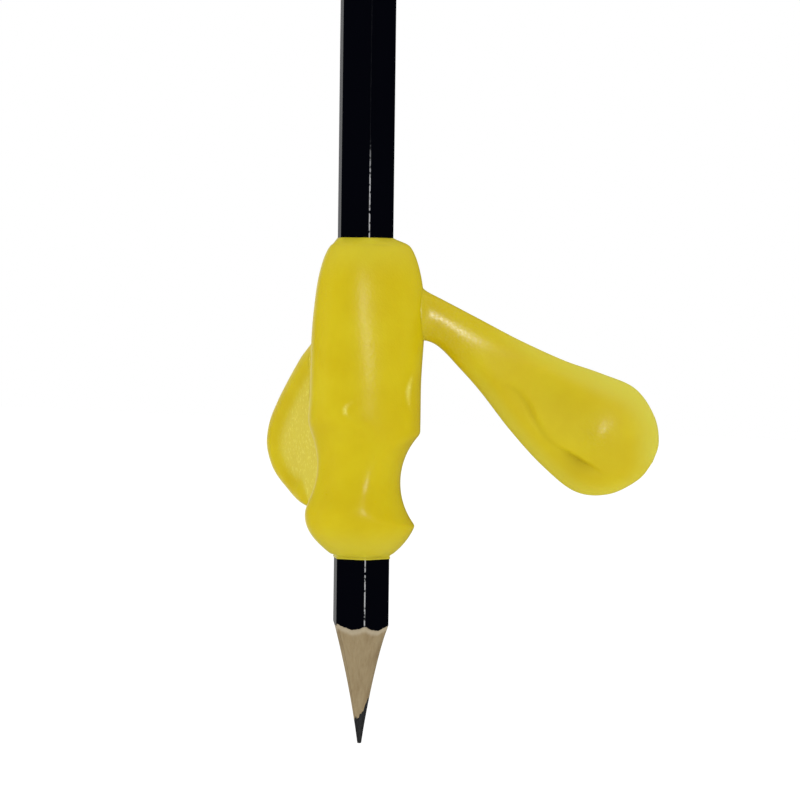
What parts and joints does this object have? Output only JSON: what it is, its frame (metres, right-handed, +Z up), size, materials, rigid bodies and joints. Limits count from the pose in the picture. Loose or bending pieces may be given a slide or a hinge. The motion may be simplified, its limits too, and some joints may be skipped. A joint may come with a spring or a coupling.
{
  "type": "pencil grip",
  "caption": "Soft rubber pencil grip with finger hollows and petal-shaped side wings, fitted on a sharpened hexagonal wooden pencil that slides through its bore.",
  "frame": {"origin": "on the pencil's axis, at the middle height of the finger hollows, where the fingertips hold the grip", "axes": "+Z up along the pencil away from its point, +Y towards the side on which both wings stand, +X towards the right wing"},
  "size_m": [0.064, 0.0311, 0.175],
  "materials": {
    "grip_rubber": "satin moulded yellow rubber with a fine grain",
    "wood": "bare sharpened softwood",
    "graphite": "fired graphite and clay, dull grey",
    "lacquer": "glossy black lacquer"
  },
  "bodies": {
    "grip": {"grip_sleeve": "grip_rubber"},
    "right_wing": {"right_wing": "grip_rubber"},
    "left_wing": {"left_wing": "grip_rubber"},
    "pencil": {"left_slat": "wood", "right_slat": "wood", "graphite_core": "graphite", "lacquer_coat": "lacquer"}
  },
  "joints": [
    {"name": "pencil_slide", "type": "slide", "parent": "grip", "child": "pencil", "axis": [0, 0, 1], "range_m": [-0.107, 0.0075]},
    {"name": "right_wing_flex", "type": "hinge", "parent": "grip", "child": "right_wing", "pos_m": [0.00688, 0.00482, 0.02215], "axis": [0, 0, 1], "range_deg": [-30, 30], "stiffness_Nm_per_rad": 0.02},
    {"name": "left_wing_flex", "type": "hinge", "parent": "grip", "child": "left_wing", "pos_m": [-0.00688, 0.00482, 0.02215], "axis": [0, 0, 1], "range_deg": [-30, 30], "stiffness_Nm_per_rad": 0.02}
  ]
}
